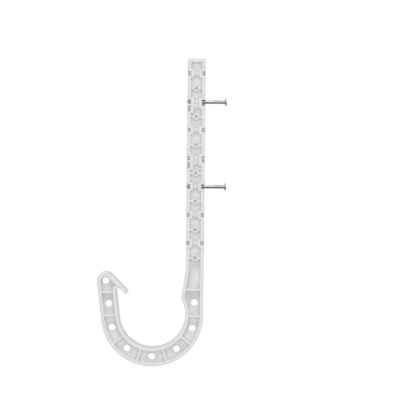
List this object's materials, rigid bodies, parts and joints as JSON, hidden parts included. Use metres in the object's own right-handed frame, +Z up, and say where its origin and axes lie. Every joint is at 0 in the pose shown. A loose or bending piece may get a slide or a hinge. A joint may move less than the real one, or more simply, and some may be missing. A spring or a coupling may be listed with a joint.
{
  "type": "pipe j-hook",
  "caption": "Moulded J-shaped pipe hanger with a ribbed I-section shank, a round pipe seat closed by a keeper finger, and nails preloaded across the shank.",
  "frame": {"origin": "centre of the round pipe seat, at mid-depth", "axes": "+Z up along the shank, +X from the keeper finger towards the shank, Y along the pipe with the nail sleeves on the -Y side"},
  "size_m": [0.1192, 0.016, 0.2869],
  "materials": {
    "moulding": "satin, as moulded",
    "nail_steel": "bright, drawn"
  },
  "bodies": {
    "root": {"hook": "moulding", "nails": "nail_steel"}
  },
  "joints": []
}
